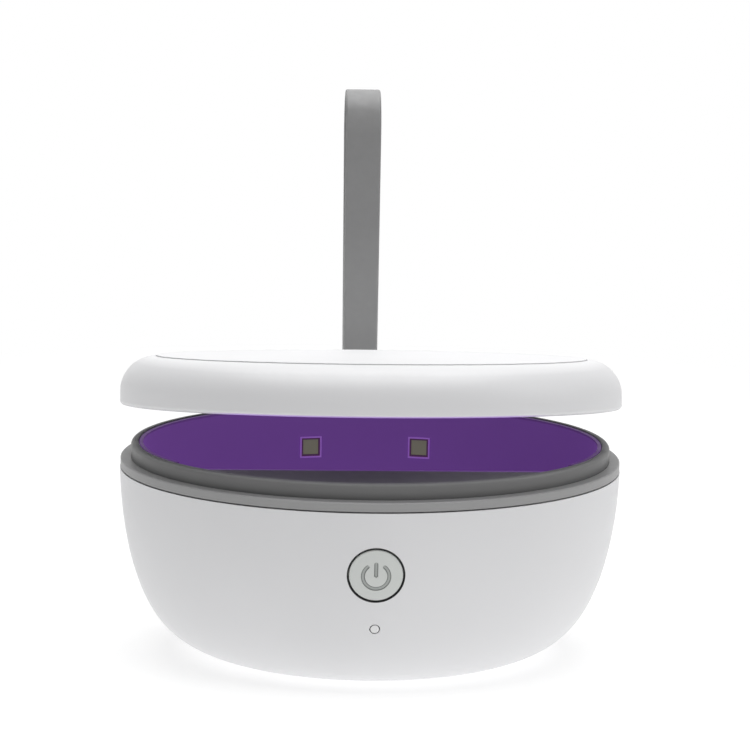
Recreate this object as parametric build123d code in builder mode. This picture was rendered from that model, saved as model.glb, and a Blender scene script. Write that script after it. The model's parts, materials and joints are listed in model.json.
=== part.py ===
from build123d import *
import math
import os

# Oval ultraviolet sanitizer box for phones: a bowl-shaped base with a lined tray,
# a domed lid on a floating rear hinge, a front power button and a rear carrying strap.
# Frame: origin on the resting face under the middle of the bowl, +X to the user's right,
# +Y to the rear (the hinge side), +Z up. Millimetres.

os.makedirs("parts", exist_ok=True)

# ---------------------------------------------------------------- driving dimensions
box_length = 210.0          # overall, along X
box_width = 147.0           # bowl and lid, along Y
bowl_depth = 78.0           # from the bowl's bottom to its top edge
bowl_bottom_z = 1.2         # the rubber pad lifts the bowl by this much
wall = 2.4                  # moulded shells
seam_gap = 0.6              # shadow line between the bowl and the tray's flange
flange_top = 4.3            # flange's upper face above the bowl's edge
lip_inset = 4.6             # lip's outer face, in from the bowl's outline
lip_thickness = 3.4
lip_top = 10.8              # lip's crest above the bowl's edge
crest_round = 0.9           # rounding of the crest's inner edge

tray_floor_z = 46.0         # phone tub inside the lip
tray_wall = 1.2
ledge_y = -42.5             # the tub stops here: a ledge lies between it and the front lip
ledge_drop = 1.6            # ledge below the lip's crest
lining_drop = 0.3           # lining's rim below the lip's crest
ledge_wall = 2.0
tub_corner = 7.0
lining_wall = 1.5
lining_round = 4.0          # rounding between the lining's wall and its floor
rib_height = 1.6            # ribs under the phone
fit_gap = 0.1               # between pieces that sit in one another

lid_height = 20.2
lid_shoulder = 14.6         # radius of the lid's rounded shoulder
lid_gap = 0.3               # between the closed lid and the flange
lid_raise = 8.0             # the hinge carriage's travel above its closed place
lid_tilt = 9.7              # degrees, how far the lid stands open
lid_edge_round = 1.6        # rounding of the lid's bottom edge
panel_step = 0.4            # the lid's top panel stands this far above the shoulder
crown = 0.8                 # rise of the top panel towards its middle

pin_radius = 1.5
pin_behind = 5.2            # lid pin behind the bowl's outline
housing_rear_y = 84.5

button_drop = 25.8          # button's centre below the bowl's edge
button_radius = 10.75
button_hole_radius = 11.6
button_edge = 0.25          # narrow step round the button's face
indicator_below = 23.6      # indicator below the button, along the bowl's face

window_x = 24.0             # lamp windows either side of the middle
window_z = 71.3
window_frame = 9.5          # outer size of the violet frame
window_rim = 8.4            # opening inside the frame
window_opening = 6.8        # clear opening inside the dark seal

strap_x = -1.6              # the strap sits slightly off the middle
strap_width = 15.6
strap_thickness = 3.0
strap_top_z = 224.1
strap_bend = 17.0           # centre-line radius of the top bend
strap_front_y = 96.5        # centre line of the upright front leg

# ---------------------------------------------------------------- derived places
half_length = box_length / 2
half_width = box_width / 2
seam_z = bowl_bottom_z + bowl_depth
flange_bottom_z = seam_z + seam_gap
flange_top_z = seam_z + flange_top
lip_top_z = seam_z + lip_top
lip_inner = lip_inset + lip_thickness
collar_bottom_z = seam_z - 1.6
ledge_z = lip_top_z - ledge_drop
ledge_underside_z = ledge_z - ledge_wall
lining_top_z = lip_top_z - lining_drop
lining_floor_z = tray_floor_z + fit_gap + lining_wall
lining_inset = lip_inner + fit_gap + lining_wall
lid_base_z = flange_top_z + lid_gap
lid_top_z = lid_base_z + lid_height
pin_y = half_width + pin_behind
pin_z = lid_base_z          # lid pin's height with the lid closed

bowl_foot_x = 40.0          # flat bottom of the bowl
bowl_foot_y = 36.0
bowl_fall = 1.86            # exponents of the bowl's side curve
bowl_bulge = 4.36


def bowl_side(depth_fraction):
    """Share of the bowl's spread that is left at a depth: 1 at its edge, 0 at its bottom."""
    return (1 - depth_fraction**bowl_fall) ** (1 / bowl_bulge)


def bowl_half_y(height):
    """Half-width of the bowl's outside at a height."""
    side = bowl_side((seam_z - height) / bowl_depth)
    return bowl_foot_y + (half_width - bowl_foot_y) * side


def oval(height, half_x, half_y):
    """Ellipse face at a height."""
    with BuildSketch(Plane.XY.offset(height)) as section:
        Ellipse(half_x, half_y)
    return section.sketch


def bowl_sections(grow=0.0, rise=0.0, steps=11):
    """Ellipses of the bowl from its bottom to its edge, grown outwards and raised."""
    sections = []
    for step in range(steps):
        depth_fraction = 1 - (step / (steps - 1)) ** 2.2
        side = bowl_side(depth_fraction)
        half_x = bowl_foot_x + (half_length - bowl_foot_x) * side + grow
        half_y = bowl_foot_y + (half_width - bowl_foot_y) * side + grow
        sections.append(oval(seam_z - (bowl_depth - rise) * depth_fraction, half_x, half_y))
    return sections


def tub_outline(height, inset, front_y):
    """The phone tub's D-shaped outline: an ellipse set in from the bowl's, cut off at the front."""
    with BuildSketch(Plane.XY.offset(height)) as section:
        Ellipse(half_length - inset, half_width - inset)
        with Locations((0, front_y)):
            Rectangle(
                box_length, box_width, align=(Align.CENTER, Align.MAX), mode=Mode.SUBTRACT
            )
        fillet(section.vertices().group_by(Axis.Y)[0], tub_corner)
    return section.sketch


def window_plane(centre_x):
    """Plane on the lining's inner face at a lamp window, facing into the tub."""
    reach_x = half_length - lining_inset
    reach_y = half_width - lining_inset
    wall_y = reach_y * math.sqrt(1 - (centre_x / reach_x) ** 2)
    inward = Vector(-centre_x / reach_x**2, -wall_y / reach_y**2, 0).normalized()
    return Plane(
        origin=(centre_x, wall_y, window_z), x_dir=(-inward.Y, inward.X, 0), z_dir=inward
    )


def mirrored_points(angle_degrees, inset):
    """Four points on an ellipse set in from the lid's outline, mirrored both ways."""
    angle = math.radians(angle_degrees)
    reach_x = (half_length - inset) * math.cos(angle)
    reach_y = (half_width - inset) * math.sin(angle)
    return [(reach_x, reach_y), (-reach_x, reach_y), (-reach_x, -reach_y), (reach_x, -reach_y)]


def power_mark(plane, stroke):
    """Plain power pictogram: an open ring with an upright bar."""
    with BuildSketch(plane) as mark:
        SlotArc(symbol_arc, stroke)
        with Locations((0, 2.4)):
            SlotOverall(6.4, stroke, rotation=90)
    return mark.sketch


# The lid and its carriage are drawn closed, then set to the pose in which the box stands.
carriage_rest = Location((0, 0, lid_raise))
lid_rest = (
    Location((0, pin_y, pin_z + lid_raise), (-lid_tilt, 0, 0)) * Location((0, -pin_y, -pin_z))
)

# ---------------------------------------------------------------- button's own plane
button_z = seam_z - button_drop
button_y = -bowl_half_y(button_z)
button_lean = math.degrees(math.atan(bowl_half_y(button_z + 0.5) - bowl_half_y(button_z - 0.5)))
button_plane = Plane(
    origin=(0, button_y, button_z),
    x_dir=(1, 0, 0),
    z_dir=(0, -math.cos(math.radians(button_lean)), -math.sin(math.radians(button_lean))),
)
switch_board_depth = 12.0
switch_board_thickness = 1.6
switch_posts = [(10.5, 16), (-10.5, 16), (10.5, -16), (-10.5, -16)]

# ---------------------------------------------------------------- places inside the base
base_screw_points = [(36, 24), (-36, 24), (-36, -24), (36, -24)]
inner_floor_z = bowl_bottom_z + wall
boss_top_z = 6.6
pad_half_x = 50.0
pad_half_y = 40.0
pad_recess = 0.8
tray_underside_z = tray_floor_z - 2.2
port_z = 30.0
port_y = bowl_half_y(port_z)
port_width = 9.0
port_height = 3.3
charging_board_z = port_z - port_height / 2 - 1.2
charging_board_y = port_y - 10.5
board_top_z = 10.6          # main board's upper face
board_thickness = 1.6
board_y = -26.0
board_screw_points = [(24, -38), (-24, -38), (24, -14), (-24, -14)]
battery_radius = 9.2
battery_length = 65.0
battery_y = 6.0
battery_z = inner_floor_z + 1.8 + battery_radius
window_planes = [window_plane(window_x), window_plane(-window_x)]
window_hole = 9.1
magnet_radius = 3.0
base_magnet_y = -61.5
lid_magnet_y = -65.0
sensor_x = -30.0

# ---------------------------------------------------------------- places at the rear
housing_half_x = 27.0
housing_bottom_z = 46.0
housing_top_z = 75.5
housing_round = 5.0
housing_screw_points = [(12, 62), (-12, 62)]
carriage_bottom_z = housing_top_z + 0.4
carriage_plate = 3.4
leg_x = 22.0
leg_y = 79.6
leg_length = 27.0
knuckle_half_x = 11.8
ear_inner_x = 12.1          # lid's hinge ears, outside the carriage's knuckle
ear_outer_x = 17.9
strap_pin_y = 89.2
strap_pin_z = 62.0
clamp_half_x = strap_width / 2 + 1.0
clamp_reach = 16.0
strap_layer = 1.55          # the two ends of the strap lie this far either side of the middle
bend_y = strap_front_y + strap_bend
bend_z = strap_top_z - strap_thickness / 2 - strap_bend
bend_distance = math.hypot(bend_y - strap_pin_y, bend_z - strap_pin_z)
# the rear leg runs straight from the clamp to the bend, so it sets the clamp's lean
strap_lean = math.acos((strap_layer - strap_bend) / bend_distance) - math.atan2(
    bend_z - strap_pin_z, bend_y - strap_pin_y
)
strap_plane = Plane(
    origin=(strap_x, strap_pin_y, strap_pin_z),
    x_dir=(0, math.cos(strap_lean), -math.sin(strap_lean)),
    z_dir=(1, 0, 0),
)

# ---------------------------------------------------------------- places in the lid
lid_roof = 3.2
panel_recess = 1.6
lid_ceiling_z = lid_top_z - lid_roof
liner_z = lid_base_z + 7.4
liner_top_z = liner_z + 2.0
lid_screw_inset = 9.6
lid_screw_points = mirrored_points(40, lid_screw_inset)
symbol_arc = CenterArc((0, -0.4), 5.25, 131, 278)

# ================================================================ base
with BuildPart() as base_shell:
    loft(bowl_sections())
    loft(bowl_sections(grow=-wall, rise=wall), mode=Mode.SUBTRACT)
    # bosses that the bottom screws pass through
    with BuildSketch(Plane.XY.offset(bowl_bottom_z + 1)):
        with Locations(*base_screw_points):
            Circle(6)
    extrude(amount=boss_top_z - bowl_bottom_z - 1)
    # recess for the rubber pad, and the screws' counterbores under it
    with BuildSketch(Plane.XY.offset(bowl_bottom_z - 1)):
        Ellipse(pad_half_x + fit_gap, pad_half_y + fit_gap)
    extrude(amount=1 + pad_recess, mode=Mode.SUBTRACT)
    with BuildSketch(Plane.XY.offset(bowl_bottom_z)):
        with Locations(*base_screw_points):
            Circle(3.1)
    extrude(amount=2.9, mode=Mode.SUBTRACT)
    with BuildSketch(Plane.XY.offset(bowl_bottom_z)):
        with Locations(*base_screw_points):
            Circle(1.7)
    extrude(amount=boss_top_z, mode=Mode.SUBTRACT)
    # posts for the main board
    with BuildSketch(Plane.XY.offset(inner_floor_z - 0.4)):
        with Locations(*board_screw_points):
            Circle(2.4)
    extrude(amount=board_top_z - board_thickness - inner_floor_z + 0.4)
    with BuildSketch(Plane.XY.offset(inner_floor_z + 1)):
        with Locations(*board_screw_points):
            Circle(1.2)
    extrude(amount=8, mode=Mode.SUBTRACT)
    # posts for the switch board, standing on the front wall
    with BuildSketch(button_plane.offset(-switch_board_depth)):
        with Locations(*switch_posts):
            Circle(2.6)
    extrude(amount=switch_board_depth - 1.4)
    with BuildSketch(button_plane.offset(-switch_board_depth)):
        with Locations(*switch_posts):
            Circle(0.9)
    extrude(amount=6.5, mode=Mode.SUBTRACT)
    # holes for the button, the indicator and the charging socket
    with BuildSketch(button_plane.offset(5)):
        Circle(button_hole_radius)
        with Locations((0, -indicator_below)):
            Circle(2.15)
    extrude(amount=-13, mode=Mode.SUBTRACT)
    with BuildSketch(Plane.XZ.offset(-port_y - 5)):
        with Locations((0, port_z)):
            RectangleRounded(port_width + 0.6, port_height + 0.6, 1.9)
    extrude(amount=12, mode=Mode.SUBTRACT)
    # two ledges that carry the charging board
    with BuildSketch(Plane.XY.offset(charging_board_z - 4)):
        with Locations((7, port_y - 9.5), (-7, port_y - 9.5)):
            Rectangle(3.5, 14)
    extrude(amount=4)
    # holes for the hinge housing's screws
    with BuildSketch(Plane.XZ.offset(-64)):
        with Locations(*housing_screw_points):
            Circle(1.6)
    extrude(amount=-12, mode=Mode.SUBTRACT)
base_shell.part.label = "base_shell"
export_step(base_shell.part, "parts/base_shell.step")

with BuildPart() as foot_pad:
    with BuildSketch():
        Ellipse(pad_half_x, pad_half_y)
    extrude(amount=bowl_bottom_z + pad_recess)
    chamfer(foot_pad.faces().sort_by(Axis.Z)[0].edges(), 0.5)
foot_pad.part.label = "foot_pad"
export_step(foot_pad.part, "parts/foot_pad.step")

with BuildPart() as base_screws:
    with BuildSketch(Plane.XY.offset(bowl_bottom_z + pad_recess + 0.2)):
        with Locations(*base_screw_points):
            Circle(2.8)
    extrude(amount=1.6)
    with BuildSketch(Plane.XY.offset(bowl_bottom_z + pad_recess + 0.2)):
        with Locations(*base_screw_points):
            Circle(1.4)
    extrude(amount=16)
    with BuildSketch(Plane.XY.offset(bowl_bottom_z + pad_recess + 0.2)):
        with Locations(*base_screw_points):
            Rectangle(0.7, 3.2)
            Rectangle(3.2, 0.7)
    extrude(amount=0.9, mode=Mode.SUBTRACT)
base_screws.part.label = "base_screws"
export_step(base_screws.part, "parts/base_screws.step")

with BuildPart() as trim_ring:
    # grey band between the bowl and the lid
    with BuildSketch(Plane.XY.offset(flange_bottom_z)):
        Ellipse(half_length - 0.2, half_width - 0.2)
    extrude(amount=flange_top_z - flange_bottom_z)
    chamfer(trim_ring.faces().sort_by(Axis.Z)[-1].edges(), 0.4)
    with BuildSketch(Plane.XY.offset(flange_bottom_z)):
        Ellipse(half_length - lip_inset + fit_gap, half_width - lip_inset + fit_gap)
    extrude(amount=10, mode=Mode.SUBTRACT)
trim_ring.part.label = "trim_ring"
export_step(trim_ring.part, "parts/trim_ring.step")

with BuildPart() as inner_tray:
    # lip that the lid closes over, standing on a collar inside the bowl's edge
    with BuildSketch(Plane.XY.offset(collar_bottom_z)):
        Ellipse(half_length - lip_inset, half_width - lip_inset)
    extrude(amount=lip_top_z - collar_bottom_z)
    fillet(inner_tray.faces().sort_by(Axis.Z)[-1].edges(), 1.6)
    with BuildSketch(Plane.XY.offset(collar_bottom_z)):
        Ellipse(half_length - wall - 0.2, half_width - wall - 0.2)
    extrude(amount=flange_bottom_z - 0.2 - collar_bottom_z)
    # tub for the phone, with the lining's hollow in it
    outer = tub_outline(tray_underside_z, lip_inner - tray_wall, ledge_y - ledge_wall)
    extrude(outer, amount=collar_bottom_z + 1 - tray_underside_z)
    extrude(tub_outline(tray_floor_z, lip_inner, ledge_y), amount=60, mode=Mode.SUBTRACT)
    # ledge in front of the tub: open above up to the lip, hollow below
    with BuildSketch(Plane.XY.offset(ledge_z)):
        Ellipse(half_length - lip_inner, half_width - lip_inner)
    extrude(amount=20, mode=Mode.SUBTRACT)
    crest = inner_tray.faces().sort_by(Axis.Z)[-1]
    fillet(crest.inner_wires()[0].edges(), crest_round)
    with BuildSketch(Plane.XY.offset(collar_bottom_z - 1)):
        Ellipse(half_length - lip_inner, half_width - lip_inner)
        with Locations((0, ledge_y - ledge_wall)):
            Rectangle(
                box_length, box_width, align=(Align.CENTER, Align.MIN), mode=Mode.SUBTRACT
            )
    extrude(amount=ledge_underside_z - collar_bottom_z + 1, mode=Mode.SUBTRACT)
    # posts that take the bottom screws
    with BuildSketch(Plane.XY.offset(boss_top_z + fit_gap)):
        with Locations(*base_screw_points):
            Circle(4)
    extrude(amount=tray_underside_z - boss_top_z)
    with BuildSketch(Plane.XY.offset(boss_top_z)):
        with Locations(*base_screw_points):
            Circle(1.5)
    extrude(amount=14, mode=Mode.SUBTRACT)
    # windows through the rear wall
    with BuildSketch(*window_planes):
        Rectangle(window_hole, window_hole)
    extrude(amount=-5, mode=Mode.SUBTRACT)
inner_tray.part.label = "inner_tray"
export_step(inner_tray.part, "parts/inner_tray.step")

with BuildPart() as violet_lining:
    extrude(
        tub_outline(tray_floor_z + fit_gap, lip_inner + fit_gap, ledge_y + fit_gap),
        amount=lining_top_z - tray_floor_z - fit_gap,
    )
    hollow = tub_outline(lining_floor_z, lining_inset, ledge_y + fit_gap + lining_wall)
    extrude(hollow, amount=60, mode=Mode.SUBTRACT)
    floor_face = violet_lining.faces().filter_by(Axis.Z).sort_by(Axis.Z)[1]
    fillet(floor_face.edges(), lining_round)
    # the front wall stops at the ledge
    with BuildSketch(Plane.XY.offset(ledge_z)):
        with Locations((0, ledge_y + tub_corner)):
            Rectangle(box_length, 20, align=(Align.CENTER, Align.MAX))
    extrude(amount=10, mode=Mode.SUBTRACT)
    # ribs that hold the phone off the floor
    with BuildSketch(Plane.XY.offset(lining_floor_z - 0.5)):
        with Locations((20, 6), (-20, 6), (54, 6), (-54, 6)):
            SlotOverall(58, 3, rotation=90)
    extrude(amount=rib_height + 0.5)
    with BuildSketch(*window_planes):
        Rectangle(window_hole, window_hole)
    extrude(amount=5, both=True, mode=Mode.SUBTRACT)
violet_lining.part.label = "violet_lining"
export_step(violet_lining.part, "parts/violet_lining.step")

with BuildPart() as window_frames:
    with BuildSketch(*[plane.offset(0.12) for plane in window_planes]):
        Rectangle(window_frame, window_frame)
    extrude(amount=0.5)
    with BuildSketch(*[plane.offset(0.3) for plane in window_planes]):
        Rectangle(window_hole - 0.2, window_hole - 0.2)
    extrude(amount=-3.0)
    with BuildSketch(*[plane.offset(1) for plane in window_planes]):
        Rectangle(window_rim, window_rim)
    extrude(amount=-5, mode=Mode.SUBTRACT)
window_frames.part.label = "window_frames"
export_step(window_frames.part, "parts/window_frames.step")

with BuildPart() as window_seals:
    with BuildSketch(*[plane.offset(0.1) for plane in window_planes]):
        Rectangle(window_rim - 0.1, window_rim - 0.1)
        Rectangle(window_opening, window_opening, mode=Mode.SUBTRACT)
    extrude(amount=-0.7)
window_seals.part.label = "window_seals"
export_step(window_seals.part, "parts/window_seals.step")

with BuildPart() as quartz_windows:
    with BuildSketch(*[plane.offset(-0.6) for plane in window_planes]):
        Rectangle(window_rim - 0.1, window_rim - 0.1)
    extrude(amount=-0.6)
quartz_windows.part.label = "quartz_windows"
export_step(quartz_windows.part, "parts/quartz_windows.step")

with BuildPart() as uv_leds:
    with BuildSketch(*[plane.offset(-1.7) for plane in window_planes]):
        Rectangle(window_opening, window_opening)
    extrude(amount=-1.3)
    with BuildSketch(*[plane.offset(-1.4) for plane in window_planes]):
        Rectangle(3.4, 3.4)
    extrude(amount=-0.4)
uv_leds.part.label = "uv_leds"
export_step(uv_leds.part, "parts/uv_leds.step")

with BuildPart() as lamp_boards:
    with BuildSketch(*[plane.offset(-3.0) for plane in window_planes]):
        RectangleRounded(14, 12, 1.5)
    extrude(amount=-1.0)
lamp_boards.part.label = "lamp_boards"
export_step(lamp_boards.part, "parts/lamp_boards.step")

# ================================================================ power button
with BuildPart() as button_face:
    with BuildSketch(button_plane.offset(3)):
        Circle(button_radius - button_edge)
    extrude(amount=-8)
    loft(bowl_sections(), mode=Mode.INTERSECT)

with BuildPart() as power_button:
    with BuildSketch(button_plane.offset(3)):
        Circle(button_radius)
    extrude(amount=-8)
    loft(bowl_sections(grow=-button_edge), mode=Mode.INTERSECT)
    add(button_face.part)
    # retaining flange behind the wall, hollow back and stem
    with BuildSketch(button_plane.offset(-3.6)):
        Circle(12.7)
    extrude(amount=-1)
    with BuildSketch(button_plane.offset(-5.5)):
        Circle(9.2)
    extrude(amount=3.1, mode=Mode.SUBTRACT)
    with BuildSketch(button_plane.offset(-7.2)):
        Circle(2.2)
    extrude(amount=5.5)
    extrude(power_mark(button_plane.offset(-0.65), 1.6), amount=3, mode=Mode.SUBTRACT)
power_button.part.label = "power_button"
export_step(power_button.part, "parts/power_button.step")

with BuildPart() as power_symbol:
    extrude(power_mark(button_plane.offset(-0.65), 1.5), amount=0.3)
power_symbol.part.label = "power_symbol"
export_step(power_symbol.part, "parts/power_symbol.step")

with BuildPart() as switch_plunger:
    with BuildSketch(button_plane.offset(-7.25)):
        Circle(1.7)
    extrude(amount=-2.9)
switch_plunger.part.label = "switch_plunger"
export_step(switch_plunger.part, "parts/switch_plunger.step")

with BuildPart() as button_gasket:
    with BuildSketch(button_plane.offset(-1.3)):
        Circle(button_hole_radius)
        Circle(button_radius + 0.3, mode=Mode.SUBTRACT)
    extrude(amount=-1.0)
button_gasket.part.label = "button_gasket"
export_step(button_gasket.part, "parts/button_gasket.step")

with BuildPart() as tact_switch:
    with BuildSketch(button_plane.offset(-switch_board_depth)):
        RectangleRounded(6.2, 6.2, 0.5)
    extrude(amount=3.5)
    with BuildSketch(button_plane.offset(-switch_board_depth + 0.5)):
        Circle(1.85)
    extrude(amount=4, mode=Mode.SUBTRACT)
tact_switch.part.label = "tact_switch"
export_step(tact_switch.part, "parts/tact_switch.step")

with BuildPart() as switch_board:
    with BuildSketch(button_plane.offset(-switch_board_depth)):
        with Locations((0, -4)):
            RectangleRounded(28, 50, 2)
        with Locations(*switch_posts):
            Circle(1.1, mode=Mode.SUBTRACT)
    extrude(amount=-switch_board_thickness)
switch_board.part.label = "switch_board"
export_step(switch_board.part, "parts/switch_board.step")

with BuildPart() as switch_board_screws:
    with BuildSketch(button_plane.offset(-switch_board_depth - switch_board_thickness)):
        with Locations(*switch_posts):
            Circle(1.9)
    extrude(amount=-1.2)
    with BuildSketch(button_plane.offset(-switch_board_depth - switch_board_thickness)):
        with Locations(*switch_posts):
            Circle(0.8)
    extrude(amount=6.5)
switch_board_screws.part.label = "switch_board_screws"
export_step(switch_board_screws.part, "parts/switch_board_screws.step")

with BuildPart() as indicator_lens:
    with BuildSketch(button_plane.offset(3)):
        with Locations((0, -indicator_below)):
            Circle(1.75)
    extrude(amount=-13.4)
    loft(bowl_sections(), mode=Mode.INTERSECT)
indicator_lens.part.label = "indicator_lens"
export_step(indicator_lens.part, "parts/indicator_lens.step")

with BuildPart() as indicator_led:
    with BuildSketch(button_plane.offset(-switch_board_depth)):
        with Locations((0, -indicator_below)):
            Rectangle(3.0, 2.0)
    extrude(amount=1.2)
indicator_led.part.label = "indicator_led"
export_step(indicator_led.part, "parts/indicator_led.step")

# ================================================================ power supply and control
with BuildPart() as main_board:
    with BuildSketch(Plane.XY.offset(board_top_z - board_thickness)):
        with Locations((0, board_y)):
            RectangleRounded(60, 36, 2)
        with Locations(*board_screw_points):
            Circle(1.3, mode=Mode.SUBTRACT)
    extrude(amount=board_thickness)
main_board.part.label = "main_board"
export_step(main_board.part, "parts/main_board.step")

with BuildPart() as board_chips:
    with BuildSketch(Plane.XY.offset(board_top_z)):
        with Locations((-6, board_y - 4)):
            Rectangle(11, 11)
        with Locations((13, board_y + 2)):
            Rectangle(7, 5)
        with Locations((12, board_y - 9)):
            Rectangle(9, 6)
    extrude(amount=1.4)
    with BuildSketch(Plane.XY.offset(board_top_z)):
        with Locations((-16, board_y + 11), (0, board_y + 11), (14, board_y + 11)):
            Rectangle(8, 5)
    extrude(amount=4.5)
board_chips.part.label = "board_chips"
export_step(board_chips.part, "parts/board_chips.step")

with BuildPart() as board_screws:
    with BuildSketch(Plane.XY.offset(board_top_z)):
        with Locations(*board_screw_points):
            Circle(2.2)
    extrude(amount=1.4)
    with BuildSketch(Plane.XY.offset(board_top_z - 5.4)):
        with Locations(*board_screw_points):
            Circle(1.1)
    extrude(amount=5.4)
board_screws.part.label = "board_screws"
export_step(board_screws.part, "parts/board_screws.step")

with BuildPart() as battery_cradle:
    with Locations((0, battery_y, inner_floor_z + fit_gap)):
        Box(74, 21.4, 10.5, align=(Align.CENTER, Align.CENTER, Align.MIN))
    with Locations(Location((0, battery_y, battery_z), (0, 90, 0))):
        Cylinder(battery_radius + 0.15, battery_length + 1.6, mode=Mode.SUBTRACT)
battery_cradle.part.label = "battery_cradle"
export_step(battery_cradle.part, "parts/battery_cradle.step")

with BuildPart() as battery_cell:
    with Locations(Location((0, battery_y, battery_z), (0, 90, 0))):
        Cylinder(battery_radius, battery_length)
    fillet(battery_cell.edges().filter_by(GeomType.CIRCLE), 0.6)
battery_cell.part.label = "battery_cell"
export_step(battery_cell.part, "parts/battery_cell.step")

with BuildPart() as charging_board:
    with BuildSketch(Plane.XY.offset(charging_board_z)):
        with Locations((0, charging_board_y)):
            Rectangle(18, 12)
    extrude(amount=1.2)
charging_board.part.label = "charging_board"
export_step(charging_board.part, "parts/charging_board.step")

with BuildPart() as charging_socket:
    with BuildSketch(Plane.XZ.offset(-port_y + 0.9)):
        with Locations((0, port_z)):
            RectangleRounded(port_width, port_height, 1.6)
    extrude(amount=7.4)
    with BuildSketch(Plane.XZ.offset(-port_y + 0.9)):
        with Locations((0, port_z)):
            RectangleRounded(port_width - 0.6, port_height - 0.6, 1.3)
    extrude(amount=6.2, mode=Mode.SUBTRACT)
    with BuildSketch(Plane.XZ.offset(-port_y + 2)):
        with Locations((0, port_z)):
            Rectangle(6.6, 0.7)
    extrude(amount=5.5)
charging_socket.part.label = "charging_socket"
export_step(charging_socket.part, "parts/charging_socket.step")

with BuildPart() as base_magnet:
    with BuildSketch(Plane.XY.offset(ledge_underside_z)):
        with Locations((0, base_magnet_y)):
            Circle(magnet_radius)
    extrude(amount=-2.4)
base_magnet.part.label = "base_magnet"
export_step(base_magnet.part, "parts/base_magnet.step")

with BuildPart() as lid_sensor:
    with BuildSketch(Plane.XY.offset(ledge_underside_z)):
        with Locations((sensor_x, -55)):
            Rectangle(10, 6)
    extrude(amount=-1.2)
lid_sensor.part.label = "lid_sensor"
export_step(lid_sensor.part, "parts/lid_sensor.step")

# ================================================================ rear hinge
with BuildPart() as hinge_housing:
    with BuildSketch(Plane.XY.offset(housing_bottom_z)):
        with Locations((0, housing_rear_y)):
            Rectangle(2 * housing_half_x, 22, align=(Align.CENTER, Align.MAX))
    extrude(amount=housing_top_z - housing_bottom_z)
    rear_face = hinge_housing.faces().sort_by(Axis.Y)[-1]
    fillet(rear_face.edges().sort_by(Axis.Z)[:-1], housing_round)
    fillet(hinge_housing.faces().sort_by(Axis.Z)[-1].edges(), 1.0)
    loft(bowl_sections(grow=0.15), mode=Mode.SUBTRACT)
    # channels for the carriage's legs
    with BuildSketch(Plane.XY.offset(housing_bottom_z + 1.5)):
        with Locations((leg_x, leg_y), (-leg_x, leg_y)):
            Rectangle(6.3, 4.3)
    extrude(amount=40, mode=Mode.SUBTRACT)
    # ears for the strap's pin
    with BuildSketch(Plane.YZ.offset(strap_x - clamp_half_x - 4.1)):
        with Locations((strap_pin_y, strap_pin_z)):
            Circle(4.6)
            Rectangle(6, 9.2, align=(Align.MAX, Align.CENTER))
    extrude(amount=3.8)
    with BuildSketch(Plane.YZ.offset(strap_x + clamp_half_x + 0.3)):
        with Locations((strap_pin_y, strap_pin_z)):
            Circle(4.6)
            Rectangle(6, 9.2, align=(Align.MAX, Align.CENTER))
    extrude(amount=3.8)
    with BuildSketch(Plane.YZ.offset(strap_x - 20)):
        with Locations((strap_pin_y, strap_pin_z)):
            Circle(pin_radius)
    extrude(amount=40, mode=Mode.SUBTRACT)
    with BuildSketch(Plane.XZ.offset(-66)):
        with Locations(*housing_screw_points):
            Circle(1.35)
    extrude(amount=-14, mode=Mode.SUBTRACT)
hinge_housing.part.label = "hinge_housing"
export_step(hinge_housing.part, "parts/hinge_housing.step")

with BuildPart() as housing_screws:
    with BuildSketch(Plane.XZ.offset(-69.4)):
        with Locations(*housing_screw_points):
            Circle(2.5)
    extrude(amount=1.6)
    with BuildSketch(Plane.XZ.offset(-69.4)):
        with Locations(*housing_screw_points):
            Circle(1.25)
    extrude(amount=-9.5)
housing_screws.part.label = "housing_screws"
export_step(housing_screws.part, "parts/housing_screws.step")

with BuildPart() as strap_pin:
    with BuildSketch(Plane.YZ.offset(strap_x - clamp_half_x - 4.1)):
        with Locations((strap_pin_y, strap_pin_z)):
            Circle(pin_radius)
    extrude(amount=2 * clamp_half_x + 8.2)
strap_pin.part.label = "strap_pin"
export_step(strap_pin.part, "parts/strap_pin.step")

with BuildPart() as hinge_carriage:
    with BuildSketch(Plane.XY.offset(carriage_bottom_z)):
        with Locations((0, 79.5)):
            RectangleRounded(2 * housing_half_x, 8.6, 3)
    extrude(amount=carriage_plate)
    fillet(hinge_carriage.faces().sort_by(Axis.Z)[-1].edges(), 0.8)
    with BuildSketch(Plane.XY.offset(carriage_bottom_z - leg_length)):
        with Locations((leg_x, leg_y), (-leg_x, leg_y)):
            Rectangle(6, 4)
    extrude(amount=leg_length)
    with BuildSketch(Plane.YZ.offset(-knuckle_half_x)):
        with Locations((pin_y, pin_z)):
            Circle(3.6)
            Rectangle(7.2, 5, align=(Align.CENTER, Align.MAX))
    extrude(amount=2 * knuckle_half_x)
    with BuildSketch(Plane.YZ.offset(-20)):
        with Locations((pin_y, pin_z)):
            Circle(pin_radius)
    extrude(amount=40, mode=Mode.SUBTRACT)
hinge_carriage.part.move(carriage_rest)
hinge_carriage.part.label = "hinge_carriage"
export_step(hinge_carriage.part, "parts/hinge_carriage.step")

with BuildPart() as hinge_pin:
    with BuildSketch(Plane.YZ.offset(-ear_outer_x - 0.3)):
        with Locations((pin_y, pin_z)):
            Circle(pin_radius)
    extrude(amount=2 * ear_outer_x + 0.6)
    chamfer(hinge_pin.edges(), 0.3)
hinge_pin.part.move(carriage_rest)
hinge_pin.part.label = "hinge_pin"
export_step(hinge_pin.part, "parts/hinge_pin.step")

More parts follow.
